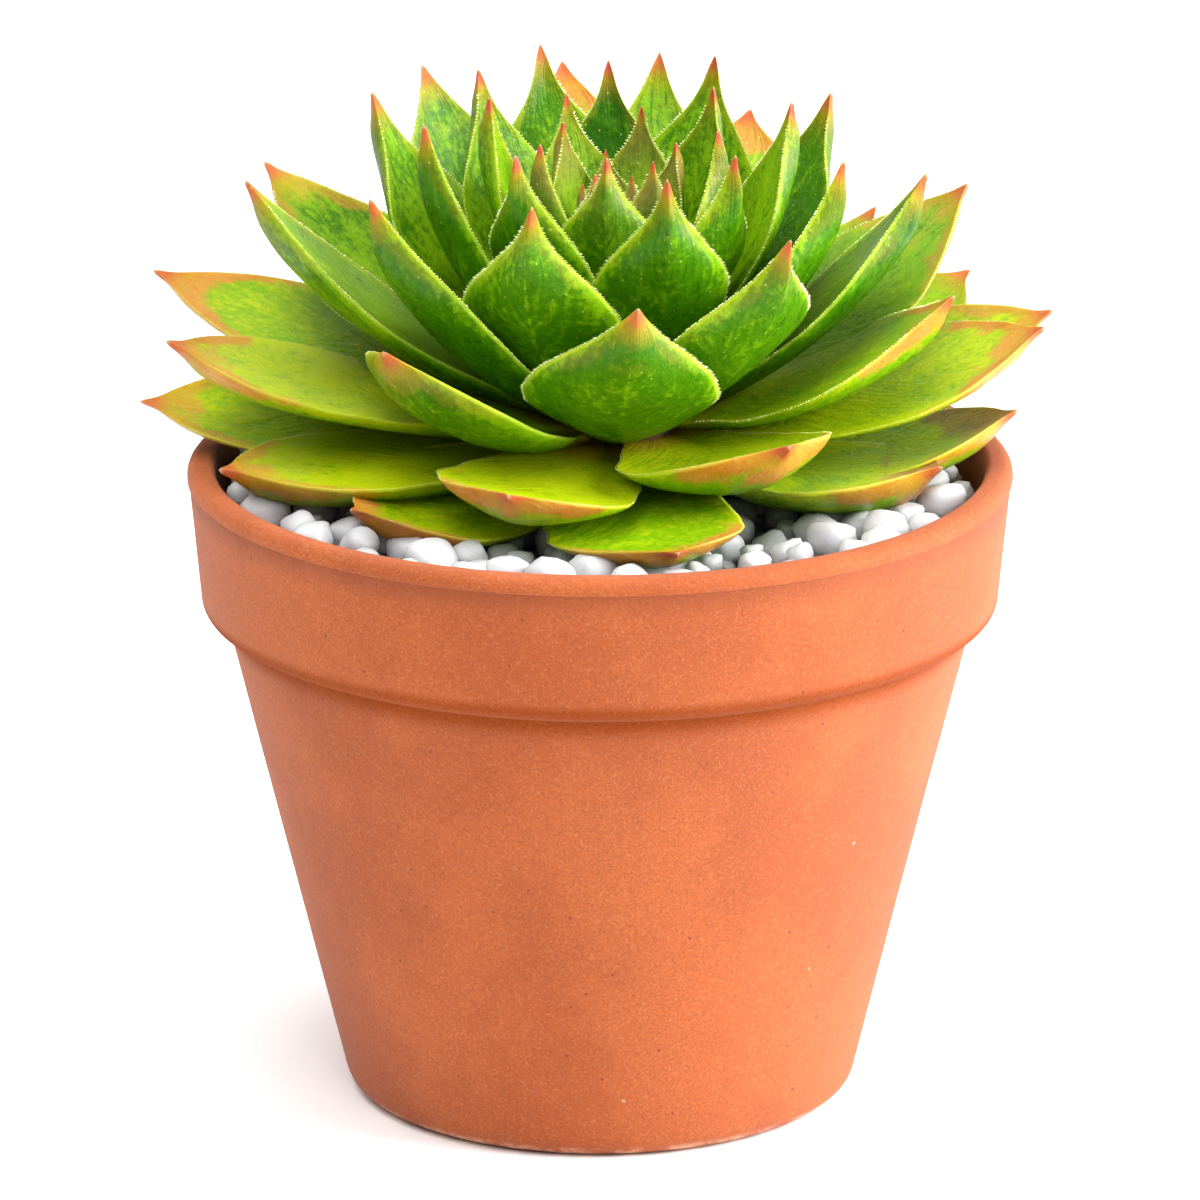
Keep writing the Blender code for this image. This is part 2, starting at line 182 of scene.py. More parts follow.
# Along a leaf: its half width, and the depth of its underside
OLD_OUTLINE = ((0.0, 0.26), (0.15, 0.46), (0.3, 0.72), (0.45, 0.93), (0.6, 1.0), (0.7, 0.98),
               (0.79, 0.86), (0.87, 0.61), (0.925, 0.34), (0.96, 0.13), (1.0, 0.0))
YOUNG_OUTLINE = ((0.0, 0.30), (0.15, 0.50), (0.3, 0.75), (0.45, 0.94), (0.58, 1.0), (0.68, 0.85),
                 (0.77, 0.56), (0.85, 0.28), (0.91, 0.14), (0.96, 0.07), (1.0, 0.0))
FULLNESS = ((0.0, 0.70), (0.3, 0.95), (0.6, 1.0), (0.8, 0.93), (0.9, 0.68), (0.96, 0.30),
            (1.0, 0.1))

# Leaves that the photograph shows off the rule: turn in degrees, further out and higher in mm
SHIFTS = {
    0: (-34, 2, 13), 1: (-22, -4, 6), 3: (1, -7, 3), 4: (8, 3, 0), 6: (-1, -1, -3), 7: (38, 10.5, -5),
    8: (3, 4, 5), 9: (27, -5, -2), 10: (0, -8, 0), 11: (-11, -13, -3), 12: (16, 7.5, 0),
    13: (-4, 3, -8), 14: (-33, -11, 4), 16: (10, 5, -7), 17: (-42, 15.5, -9.5), 18: (1, 2, 2),
    19: (-150, 0, -28), 20: (2, 3, 2), 22: (-79, 5, -22), 23: (-2, 0, 4), 24: (17, 1, -10),
    25: (2, 6, 4), 26: (-3, 8, -20), 27: (2, -3, -5), 28: (-2, -2, 4), 29: (-5, 1, 0),
    30: (-4, 1, 2), 32: (0, 4, -2), 33: (-3, -1, 3), 34: (-1, -2, 0), 35: (-2, 0, 0), 36: (-4, 0, 1),
    37: (-1, 3, -1), 38: (-2, -2, 2), 41: (-4, -1, 1), 45: (0, 2, -1), 46: (-4, -1, 2),
    49: (-3, -2, 0), 54: (-5, -1, 2), 58: (-33, -2, 1),
}
# Leaves of a build of their own: roll in degrees, width and depth as shares of the rule's,
# then how far the middle stands sideways and below in mm
BUILDS = {
    0: (6, 1.0, 1.3, 0, 4), 1: (4, 0.8, 1.3, -3, 3), 3: (6, 1.1, 1.6, 0, 1.5),
    4: (-5, 0.95, 1.5, -2, -0.8), 6: (0, 0.95, 1.0, 2.5, 1.6), 7: (2, 0.92, 1.0, 2, -0.5),
    9: (5, 0.96, 1.15, 1.5, 1.5), 11: (0, 1.0, 1.3, 1.5, 0.7), 12: (-4, 0.9, 1.2, 0, -1),
    14: (0, 1.0, 1.2, 0, 1), 16: (-3, 1.12, 1.0, 0, 0), 17: (0, 0.85, 1.0, 0, -3),
    27: (3, 1.03, 1.0, 1.5, 2.2), 35: (-6, 0.96, 1.0, 2.8, 0.5), 40: (0, 0.94, 1.0, -1, 0),
}
# How far each of these leaves has coloured, 0 to 1; the rest colour by their age
BLUSH = {0: 0.7, 1: 1.0, 3: 0.8, 4: 0.7, 6: 0.85, 7: 0.6, 8: 0.7, 9: 0.95, 11: 0.9, 12: 0.85, 14: 0.2,
         16: 0.9, 17: 0.9, 18: 0.9, 20: 0.5, 21: 0.5, 23: 1.0, 24: 0.9}
OLDEST_BLUSH = 0.4
LEAST_BLUSH = 0.12
# How far each of these leaves has dried, from where along it, and how much more on one margin
DRY = {0: 0.75, 1: 0.4, 3: 0.8, 4: 0.3}
DRY_FROM = 0.55
DRY_SLANT = 0.6
DRY_CURVE = 0.7
# How much lighter or darker these leaves are: partly their own tone, partly painted light on leaves
# that lie in shade and painted shade on leaves that face the lights; the rest differ by a value that
# steps leaf by leaf
LEAF_TONES_AND_PAINTED_LIGHT = {0: 0.08, 4: 0.18, 6: -0.14, 9: 0.12, 12: 0.10, 13: -0.10, 14: -0.26, 17: -0.08, 20: -0.26,
         21: -0.16, 24: 0.10, 27: -0.06, 28: -0.14, 29: -0.18, 34: -0.16, 35: 0.08, 36: -0.12,
         44: -0.40, 46: 0.12, 48: 0.08}
TONE_SPREAD = 0.10
LEAF_STEP = 0.618

# Teeth along the leaf margins
TOOTH_SPACING = 0.48 * MM
TOOTH_LENGTH = 0.55 * MM
TOOTH_RADIUS = 0.20 * MM
TOOTH_SEED = 5
TOOTH_SIZES = (0.6, 1.1)
TOOTH_GAPS = (0.7, 1.4)
TOOTH_LEAN = 0.5
TOOTH_STRAY = 0.15
TOOTH_SUNK = 0.05 * MM
TEETH_FROM = 0.16
TEETH_TO = 0.93
# Leaves up to this age have shorter teeth, by this share
OLD_LEAVES = 0.3
OLD_TOOTH = 0.4

# Colours, linear; a list is read along a value, from place to place
CLAY_BODY = ((0.0, (0.34, 0.067, 0.009)), (1.0, (0.41, 0.090, 0.015)))
CLAY_DUST = (0.80, 0.36, 0.17)
CLAY_GRAIN = (0.19, 0.032, 0.005)
CLAY_PIN = (0.16, 0.04, 0.015)
CLAY_CHIP = (0.85, 0.55, 0.38)
# Painted shade for the recesses under the lip and below the collar
CLAY_PAINTED_SHADE = (0.19, 0.034, 0.006)
CLAY_SCUFF = (0.75, 0.42, 0.25)
STONE_GREYS = ((0.0, (0.29, 0.29, 0.30)), (0.4, (0.42, 0.42, 0.432)), (1.0, (0.60, 0.60, 0.61)))
STONE_MOTTLE = (0.40, 0.40, 0.41)
SOIL_BROWNS = ((0.35, (0.012, 0.008, 0.005)), (0.7, (0.075, 0.045, 0.028)))
BARK_BROWNS = ((0.3, (0.045, 0.022, 0.010)), (0.7, (0.16, 0.085, 0.040)))
TOOTH_PALES = ((0.35, (0.50, 0.60, 0.12)), (0.65, (0.80, 0.84, 0.42)))
LEAF_GREENS = ((0.0, (0.018, 0.090, 0.001)), (0.28, (0.050, 0.175, 0.001)),
               (0.60, (0.185, 0.375, 0.002)), (1.0, (0.420, 0.510, 0.003)))
LEAF_HEART = (0.26, 0.17, 0.05)
LEAF_BLUSH = ((0.35, (0.48, 0.150, 0.014)), (0.60, (0.58, 0.235, 0.042)),
              (0.78, (0.58, 0.125, 0.030)))
LEAF_WARM = (0.42, 0.25, 0.006)
LEAF_ORANGE = ((0.35, (0.43, 0.074, 0.024)), (0.65, (0.52, 0.130, 0.034)))
LEAF_POINT = (0.50, 0.062, 0.036)
LEAF_END = (0.45, 0.27, 0.16)
LEAF_FLECK = (0.62, 0.74, 0.20)
LEAF_MARGIN = (0.55, 0.66, 0.05)
LEAF_DRY = ((0.3, (0.19, 0.065, 0.022)), (0.7, (0.42, 0.21, 0.09)))
LEAF_RUST = (0.36, 0.17, 0.008)
# Dark red-brown leaf foot, with painted shade where the leaves crowd onto the stem
LEAF_FOOT_AND_PAINTED_SHADE = (0.10, 0.028, 0.008)


# Small helpers

def deselect():
    bpy.ops.object.select_all(action="DESELECT")


def select_only(objects):
    deselect()
    for obj in objects:
        obj.select_set(True)
    bpy.context.view_layer.objects.active = objects[0]


def join(objects, name):
    """One piece of several, named, with its place in its mesh."""
    select_only(objects)
    bpy.ops.object.join()
    piece = bpy.context.active_object
    piece.name = name
    piece.data.name = name
    return piece


def own_copy(obj):
    copy = obj.copy()
    copy.data = obj.data.copy()
    bpy.context.scene.collection.objects.link(copy)
    return copy


def add_values(mesh, name, values):
    layer = mesh.attributes.new(name, "FLOAT", "POINT")
    layer.data.foreach_set("value", values)


def within(value, low=0.0, high=1.0):
    return max(low, min(high, value))


def cubic(values, t):
    """The cubic through four values at t = 0, 1/3, 2/3 and 1."""
    knots = (0.0, 1 / 3, 2 / 3, 1.0)
    total = 0.0
    for i, value in enumerate(values):
        weight = 1.0
        for j, knot in enumerate(knots):
            if i != j:
                weight *= (t - knot) / (knots[i] - knot)
        total += value * weight
    return total


def along(points, t):
    """A smooth curve through (place, value) points, read at t."""
    last = len(points) - 1
    for i in range(last):
        if t <= points[i + 1][0] or i == last - 1:
            break
    (x0, y0), (x1, y1) = points[i], points[i + 1]
    before = points[max(i - 1, 0)]
    after = points[min(i + 2, last)]
    slope0 = (y1 - before[1]) / (x1 - before[0])
    slope1 = (after[1] - y0) / (after[0] - x0)
    span = x1 - x0
    u = (t - x0) / span
    return ((1 + 2 * u) * (1 - u) ** 2 * y0 + u * (1 - u) ** 2 * span * slope0
            + u * u * (3 - 2 * u) * y1 + u * u * (u - 1) * span * slope1)


def arc(centre_r, centre_z, radius, start, end, count):
    """Points of an arc in the (r, z) plane, angles in degrees from +r."""
    points = []
    for i in range(count + 1):
        angle = math.radians(start + (end - start) * i / count)
        points.append((centre_r + radius * math.cos(angle), centre_z + radius * math.sin(angle)))
    return points


def steps(start, end, count):
    """Points between two, without the ends."""
    return [tuple(a + (b - a) * i / count for a, b in zip(start, end)) for i in range(1, count)]


# Materials

class Shader:
    """A Principled material and the nodes that feed it."""

    def __init__(self, name):
        self.material = bpy.data.materials.new(name)
        self.material.use_nodes = True
        self.nodes = self.material.node_tree.nodes
        self.links = self.material.node_tree.links
        self.surface = self.nodes["Principled BSDF"]

    def put(self, socket, value):
        """A linked socket where the value comes from a node, and a set one where it is plain."""
        if isinstance(value, bpy.types.NodeSocket):
            self.links.new(value, socket)
        elif socket.type == "RGBA":
            socket.default_value = (*value, 1.0)
        else:
            socket.default_value = value

    def set(self, values):
        for name, value in values.items():
            self.put(self.surface.inputs[name], value)

    def place(self, stretch=(1, 1, 1)):
        source = self.nodes.new("ShaderNodeTexCoord").outputs["Object"]
        mapping = self.nodes.new("ShaderNodeMapping")
        mapping.inputs["Scale"].default_value = stretch
        self.links.new(source, mapping.inputs["Vector"])
        return mapping.outputs["Vector"]

    def height(self):
        node = self.nodes.new("ShaderNodeSeparateXYZ")
        self.links.new(self.place(), node.inputs["Vector"])
        return node.outputs["Z"]

    def value(self, name):
        node = self.nodes.new("ShaderNodeAttribute")
        node.attribute_name = name
        return node.outputs["Fac"]

    def noise(self, scale, detail=3.0, rough=0.55, stretch=(1, 1, 1), at=None):
        node = self.nodes.new("ShaderNodeTexNoise")
        self.links.new(at or self.place(stretch), node.inputs["Vector"])
        node.inputs["Scale"].default_value = scale
        node.inputs["Detail"].default_value = detail
        node.inputs["Roughness"].default_value = rough
        return node.outputs["Fac"]

    def dots(self, scale, size, share):
        """Round dots in some of the cells: size is where a dot fades, share which cells have one."""
        node = self.nodes.new("ShaderNodeTexVoronoi")
        self.links.new(self.place(), node.inputs["Vector"])
        node.inputs["Scale"].default_value = scale
        near = self.ramp(node.outputs["Distance"], *size, 1.0, 0.0)
        return self.math("MULTIPLY", near, self.ramp(node.outputs["Color"], *share))

    def math(self, operation, a, b=0.0, clamp=False):
        node = self.nodes.new("ShaderNodeMath")
        node.operation = operation
        node.use_clamp = clamp
        self.put(node.inputs[0], a)
        self.put(node.inputs[1], b)
        return node.outputs[0]

    def added(self, total, share, value, middle=0.0):
        """The total with a share of a value added, counted from its middle."""
        if middle:
            value = self.math("SUBTRACT", value, middle)
        return self.math("ADD", total, self.math("MULTIPLY", value, share))

    def ramp(self, value, low, high, to_low=0.0, to_high=1.0):
        """A smooth step of the value between two limits."""
        node = self.nodes.new("ShaderNodeMapRange")
        node.interpolation_type = "SMOOTHSTEP"
        self.put(node.inputs["Value"], value)
        node.inputs["From Min"].default_value = low
        node.inputs["From Max"].default_value = high
        node.inputs["To Min"].default_value = to_low
        node.inputs["To Max"].default_value = to_high
        return node.outputs["Result"]

    def blend(self, share, first, second):
        node = self.nodes.new("ShaderNodeMix")
        node.data_type = "RGBA"
        node.clamp_factor = True
        self.put(node.inputs["Factor"], share)
        self.put(node.inputs[6], first)
        self.put(node.inputs[7], second)
        return node.outputs[2]

    def gradient(self, value, stops):
        node = self.nodes.new("ShaderNodeValToRGB")
        self.links.new(value, node.inputs["Fac"])
        ramp = node.color_ramp
        ramp.interpolation = "EASE"
        while len(ramp.elements) < len(stops):
            ramp.elements.new(0.5)
        for element, (place, colour) in zip(ramp.elements, stops):
            element.position = place
            element.color = (*colour, 1.0)
        return node.outputs["Color"]

    def vector(self, x, y, z):
        node = self.nodes.new("ShaderNodeCombineXYZ")
        for socket, value in zip(node.inputs, (x, y, z)):
            self.put(socket, value)
        return node.outputs["Vector"]

    def bump(self, height, strength, depth):
        node = self.nodes.new("ShaderNodeBump")
        node.inputs["Strength"].default_value = strength
        node.inputs["Distance"].default_value = depth
        self.links.new(height, node.inputs["Height"])
        self.links.new(node.outputs["Normal"], self.surface.inputs["Normal"])


def clay_material():
    clay = Shader("fired_clay")
    clouds = clay.noise(30, 5, 0.6)
    grain = clay.noise(2500, 3, 0.75)
    body = clay.gradient(clay.ramp(clouds, 0.35, 0.65), CLAY_BODY)
    dusted = clay.blend(clay.ramp(clay.noise(1900, 2, 0.7), 0.50, 0.66, 0.0, 0.12), body, CLAY_DUST)
    speckled = clay.blend(clay.ramp(grain, 0.36, 0.54, 0.55, 0.0), dusted, CLAY_GRAIN)
    pins = clay.dots(260, (0.04, 0.10), (0.48, 0.52))
    pricked = clay.blend(clay.math("MULTIPLY", pins, 0.85), speckled, CLAY_PIN)
    chips = clay.dots(120, (0.03, 0.055), (0.70, 0.74))
    chipped = clay.blend(clay.math("MULTIPLY", chips, 0.3), pricked, CLAY_CHIP)

    # Painted shade under the lip and in the step below the collar, worn pale at the foot
    height = clay.height()
    painted_shade_under_lip = clay.math(
        "MULTIPLY",
        clay.ramp(height, POT_HEIGHT - 7.1 * MM, POT_HEIGHT - 3.0 * MM, 0.0, 0.45),
        clay.ramp(height, POT_HEIGHT - 2.7 * MM, POT_HEIGHT - 2.3 * MM, 1.0, 0.0))
    painted_shade_below_collar = clay.math(
        "MULTIPLY",
        clay.ramp(height, STEP_Z - 4.7 * MM, STEP_Z + 0.3 * MM, 0.0, 0.6),
        clay.ramp(height, STEP_Z + 2.1 * MM, STEP_Z + 4.3 * MM, 1.0, 0.0))
    shaded = clay.blend(clay.math("ADD", painted_shade_under_lip, painted_shade_below_collar), chipped, CLAY_PAINTED_SHADE)
    worn = clay.math(
        "MULTIPLY",
        clay.ramp(height, 0.8 * MM, 2.2 * MM, 0.7, 0.0),
        clay.ramp(clay.noise(160, 4, 0.7), 0.42, 0.58))
    scuffed = clay.blend(worn, shaded, CLAY_SCUFF)
    clay.set({
        "Base Color": scuffed,
        "Roughness": clay.ramp(grain, 0.3, 0.7, 0.70, 0.88),
        "Specular IOR Level": clay.ramp(painted_shade_below_collar, 0.0, 0.6, 0.34, 0.0),
        "Sheen Weight": 0.06,
        "Sheen Roughness": 0.6,
    })
    rings = clay.noise(420, 2, stretch=(0.04, 0.04, 1.0))
    relief = clay.added(grain, 0.5, rings)
    clay.bump(clay.added(relief, -1.5, pins), 0.55, 0.14 * MM)
    return clay.material


def stone_material():
    stone = Shader("white_stone")
    clouds = stone.noise(260, 3)
    white = stone.gradient(stone.value("tint"), STONE_GREYS)
    stone.set({
        "Base Color": stone.blend(stone.ramp(clouds, 0.45, 0.8, 0.0, 0.3), white, STONE_MOTTLE),
        "Roughness": 0.5,
    })
    stone.bump(stone.added(stone.noise(1900, 3), 2.5, clouds), 0.3, 0.15 * MM)
    return stone.material


def soil_material():
    soil = Shader("potting_soil")
    crumbs = soil.noise(420, 5, 0.7)
    soil.set({"Base Color": soil.gradient(crumbs, SOIL_BROWNS), "Roughness": 0.95})
    soil.bump(crumbs, 0.8, 1.5 * MM)
    return soil.material


def leaf_material():
    leaf = Shader("houseleek_leaf")
    place = leaf.value("along")
    across = leaf.math("ABSOLUTE", leaf.value("across"))
    age = leaf.value("age")
    under = leaf.value("under")
    blush = leaf.value("blush")
    dry = leaf.value("dry")
    draw = leaf.value("draw")

    # Green: deep on the young leaves' backs, yellow on the old leaves and towards every margin, with
    # painted light on the upper faces
    blotches = leaf.noise(110, 6, 0.70)
    grain = leaf.noise(900, 2, 0.6)
    veins = leaf.noise(1.0, 2, 0.5, at=leaf.vector(
        leaf.math("SUBTRACT", leaf.math("MULTIPLY", place, 26.0), leaf.math("MULTIPLY", across, 9.0)),
        leaf.math("MULTIPLY", leaf.value("across"), 3.0),
        leaf.math("MULTIPLY", draw, 40.0)))
    old = leaf.ramp(age, 0.28, 0.52, 1.0, 0.0)
    light = leaf.math("MULTIPLY", old, 0.34)
    light = leaf.added(light, 0.24, leaf.ramp(across, 0.78, 1.0))
    # Painted light: the upper faces lighter than the undersides, as lit from above
    light = leaf.added(light, 0.20, leaf.math("SUBTRACT", 1.0, under))
    light = leaf.added(light, 0.70, blotches, 0.5)
    light = leaf.added(light, 0.40, veins, 0.5)
    light = leaf.added(light, 0.60, grain, 0.5)
    light = leaf.math("ADD", light, leaf.ramp(across, 0.0, 0.05, 0.09, 0.0))
    # Each leaf's own tone, with painted light on some leaves and painted shade on others
    light = leaf.math("ADD", light, leaf.value("tone_and_painted_light"))
    light = leaf.math("ADD", light, 0.27, clamp=True)
    green = leaf.gradient(light, LEAF_GREENS)
    young = leaf.math("MULTIPLY", leaf.ramp(age, 0.76, 0.97), leaf.ramp(place, 0.50, 0.92))
    heart = leaf.blend(leaf.math("MULTIPLY", young, 0.8), green, LEAF_HEART)

    # Blush: orange to red towards the tip and along the margin, most on the leaves in the sun
    patch = leaf.noise(150, 5, 0.65)
    reach = leaf.added(leaf.ramp(place, 0.60, 0.98), 0.55, leaf.ramp(across, 0.5, 1.0))
    reach = leaf.added(reach, 1.6, patch, 0.5)
    flush = leaf.math("MULTIPLY", leaf.ramp(reach, 0.66, 1.02), blush, clamp=True)
    flushed = leaf.blend(flush, heart, leaf.gradient(patch, LEAF_BLUSH))

    # Tip: a red point, yellow round it, with a pale dried end
    warm = leaf.blend(leaf.ramp(place, 0.88, 0.95, 0.0, 0.5), flushed, LEAF_WARM)
    point = leaf.blend(leaf.ramp(age, 0.60, 0.74), leaf.gradient(patch, LEAF_ORANGE), LEAF_POINT)
    red = leaf.blend(leaf.ramp(place, 0.93, 0.975, 0.0, 0.92), warm, point)
    ended = leaf.blend(leaf.ramp(place, 0.986, 0.998), red, LEAF_END)

    # Small pale flecks all over, and a thin pale line along the margin
    flecks = leaf.dots(620, (0.06, 0.15), (0.40, 0.50))
    flecked = leaf.blend(leaf.math("MULTIPLY", flecks, 0.35), ended, LEAF_FLECK)
    line = leaf.math(
        "MULTIPLY", leaf.ramp(across, 0.955, 0.995), leaf.ramp(place, 0.86, 0.93, 0.45, 0.1))
    edged = leaf.blend(line, flecked, LEAF_MARGIN)

    # Dried tissue, and the foot of each leaf: rusty on the old ones, then nearly black, its dark
    # red-brown base with painted shade where the leaves crowd onto the stem
    crisp = leaf.ramp(leaf.added(dry, 0.6, patch), 0.75, 0.95, 0.0, 0.95)
    dried = leaf.blend(crisp, edged, leaf.gradient(blotches, LEAF_DRY))
    rust = leaf.math("MULTIPLY", leaf.ramp(place, 0.12, 0.26, 0.6, 0.0), old)
    rusty = leaf.blend(rust, dried, LEAF_RUST)
    foot = leaf.blend(leaf.ramp(place, 0.03, 0.13, 0.9, 0.0), rusty, LEAF_FOOT_AND_PAINTED_SHADE)
    leaf.set({
        "Base Color": foot,
        "Roughness": leaf.ramp(blotches, 0.3, 0.7, 0.25, 0.42),
        "Specular IOR Level": 0.16,
        "Subsurface Weight": 0.12,
        "Subsurface Radius": (0.9, 1.0, 0.1),
        "Subsurface Scale": 1.4 * MM,
    })
    relief = leaf.math("ADD", leaf.math("MULTIPLY", grain, 1.2), leaf.math("MULTIPLY", veins, 1.6))
    leaf.bump(leaf.added(relief, 3.0, blotches), 0.42, 0.3 * MM)
    return leaf.material


def tooth_material():
    tooth = Shader("leaf_tooth")
    tooth.set({
        "Base Color": tooth.gradient(tooth.noise(300, 2), TOOTH_PALES),
        "Roughness": 0.5,
        "Subsurface Weight": 0.2,
        "Subsurface Radius": (1.0, 1.0, 0.5),
        "Subsurface Scale": 0.4 * MM,
    })
    return tooth.material


def stem_material():
    stem = Shader("woody_stem")
    bark = stem.noise(300, 4, 0.7, stretch=(1, 1, 0.35))
    stem.set({"Base Color": stem.gradient(bark, BARK_BROWNS), "Roughness": 0.85})
    stem.bump(bark, 0.7, 0.8 * MM)
    return stem.material


# Turned pieces: a ring drawn along its profile

def turned(name, profile, sides, closed):
    """A circle extruded and resized from point to point of a profile of (radius, height)."""
    deselect()
    radius, height = profile[0]
    bpy.ops.mesh.primitive_circle_add(vertices=sides, radius=radius, location=(0, 0, height))
    piece = bpy.context.active_object
    piece.name = name
    bpy.ops.object.transform_apply(location=True, rotation=False, scale=False)
    bpy.ops.object.mode_set(mode="EDIT")
    bpy.ops.mesh.select_mode(type="EDGE")
    bpy.ops.mesh.select_all(action="SELECT")
    if not closed:
        bpy.ops.mesh.edge_face_add()
    for next_radius, next_height in profile[1:]:
        rise = (0, 0, next_height - height)
        bpy.ops.mesh.extrude_region_move(TRANSFORM_OT_translate={"value": rise})
        factor = next_radius / radius
        bpy.ops.transform.resize(value=(factor, factor, 1), center_override=(0, 0, next_height))
        radius, height = next_radius, next_height
    if closed:
        bpy.ops.mesh.select_all(action="DESELECT")
        bpy.ops.mesh.select_non_manifold()
        bpy.ops.mesh.bridge_edge_loops()
    bpy.ops.mesh.select_all(action="SELECT")
    bpy.ops.mesh.normals_make_consistent(inside=False)
    bpy.ops.object.mode_set(mode="OBJECT")
    return piece


def wall_radius(z):
    """The pot's inner wall above its ledge."""
    top = RIM_RADIUS - RIM_WALL
    return LEDGE_RADIUS + (top - LEDGE_RADIUS) * (z - STEP_Z) / (POT_HEIGHT - STEP_Z)


def pot_profile():
    """From the drain hole's lower edge out over the foot, up the wall, over the lip and down."""
    foot = arc(FOOT_RADIUS - FOOT_ROUNDING, FOOT_ROUNDING, FOOT_ROUNDING, -90, -10, 8)
    step = (STEP_RADIUS, STEP_Z)
    collar_foot = arc(COLLAR_FOOT_RADIUS - COLLAR_ROUNDING, COLLAR_FOOT_Z, COLLAR_ROUNDING, -75, 0, 7)
    lip = arc(RIM_RADIUS - LIP_ROUNDING, POT_HEIGHT - LIP_ROUNDING, LIP_ROUNDING, 0, 90, 6)
    inner_lip = arc(RIM_RADIUS - RIM_WALL + INNER_LIP_ROUNDING, POT_HEIGHT - INNER_LIP_ROUNDING,
                    INNER_LIP_ROUNDING, 90, 180, 5)
    lip_foot = (RIM_RADIUS - LIP_STEP, POT_HEIGHT - LIP_BAND)
    ledge = (LEDGE_RADIUS, LEDGE_Z)
    inner_step = (STEP_RADIUS - RIM_WALL, STEP_Z)
    inner_foot = (INNER_FOOT_RADIUS, FLOOR + FLOOR_BEVEL)
    return [
        (DRAIN_RADIUS + DRAIN_BEVEL, 0.0),
        (MIDDLE_RING, 0.0),
        *foot,
        *steps(foot[-1], step, 18),
        step,
        *collar_foot,
        *steps(collar_foot[-1], lip_foot, 8),
        lip_foot,
        (RIM_RADIUS, lip_foot[1] + LIP_STEP_RISE),
        *lip,
        *inner_lip,
        *steps(inner_lip[-1], ledge, 6),
        ledge,
        inner_step,
        *steps(inner_step, inner_foot, 8),
        inner_foot,
        (INNER_FOOT_RADIUS - FLOOR_BEVEL, FLOOR),
        (MIDDLE_RING, FLOOR),
        (DRAIN_RADIUS + DRAIN_BEVEL, FLOOR),
        (DRAIN_RADIUS, FLOOR - DRAIN_BEVEL),
        (DRAIN_RADIUS, DRAIN_BEVEL),
    ]


def make_pot():
    pot = turned("clay_pot", pot_profile(), POT_SIDES, True)
    # Pressed clay is never quite round: a slow wave in the wall and a little wear, most on the lip
    for vert in pot.data.vertices:
        x, y, z = vert.co
        slow = noise.noise(Vector((x * WAVES[0], y * WAVES[1], z * WAVES[2]))) * WAVE_DEPTH
        rough = noise.noise(Vector((x, y, z)) * WEAR_GRAIN + Vector((0, 0, 5))) * WEAR_DEPTH
        at_edge = max(0.0, (z - POT_HEIGHT + WORN_LIP) / WORN_LIP)
        shift = 1 + (slow + rough * (WALL_WEAR + at_edge)) / math.hypot(x, y)
        if z > FLAT_FOOT:
            vert.co = (x * shift, y * shift, z + rough * LIP_WEAR * at_edge)
    select_only([pot])
    bpy.ops.object.shade_smooth_by_angle(angle=SMOOTH_ANGLE)
    pot.data.materials.append(clay_material())
    return pot


# Stones

def stone_forms():
    """Rounded broken stones: cubes drawn towards a ball, knocked out of true and smoothed."""
    forms = []
    for i in range(STONE_FORMS):
        deselect()
        bpy.ops.mesh.primitive_cube_add(size=1.6)
        form = bpy.context.active_object
        bpy.ops.object.mode_set(mode="EDIT")
        bpy.ops.mesh.select_all(action="SELECT")
        bpy.ops.mesh.subdivide(number_cuts=3)
        bpy.ops.transform.tosphere(value=FIRST_ROUNDNESS + MORE_ROUNDNESS * (i % 4))
        bpy.ops.transform.vertex_random(offset=STONE_KNOCKS, uniform=0.6, normal=0.5, seed=11 + i)
        bpy.ops.mesh.vertices_smooth(factor=0.5, repeat=2)
        bpy.ops.object.mode_set(mode="OBJECT")
        size = max(v.co.length for v in form.data.vertices)
        form.data.transform(Matrix.Scale(1 / size, 4))
        bpy.ops.object.shade_smooth()
        forms.append(form)
    return forms


def spread(count, small, large, draw):
    """Places and radii of stones that share a round bed: pushed apart until they hardly overlap."""
    limit = wall_radius(SOIL_TOP) - WALL_AIR
    sizes = np.array([small + (large - small) * draw.random() ** SMALL_STONES for _ in range(count)])
    angles = np.array([math.radians(GOLDEN_ANGLE * i) for i in range(count)])
    radii = limit * np.sqrt((np.arange(count) + 0.5) / count)
    places = np.stack([radii * np.cos(angles), radii * np.sin(angles)], axis=1)
    places += np.array([[draw.uniform(-1, 1) * MM, draw.uniform(-1, 1) * MM] for _ in range(count)])
    stem = np.array([ROSETTE_X, ROSETTE_Y])
    for _ in range(SPREAD_ROUNDS):
        apart = places[:, None] - places[None]
        distance = np.linalg.norm(apart, axis=2) + 1e-9
        overlap = np.clip(TOUCH * (sizes[:, None] + sizes[None]) - distance, 0, None)
        np.fill_diagonal(overlap, 0)
        places += (apart / distance[:, :, None] * overlap[:, :, None] * PUSH).sum(axis=1)
        from_stem = places - stem
        reach = np.linalg.norm(from_stem, axis=1) + 1e-9
        near = np.clip(STEM_RADIUS + sizes - reach, 0, None)
        places += from_stem / reach[:, None] * near[:, None]
        far = np.linalg.norm(places, axis=1)
        places *= np.minimum(1.0, (limit - sizes) / far)[:, None]
    return places, sizes


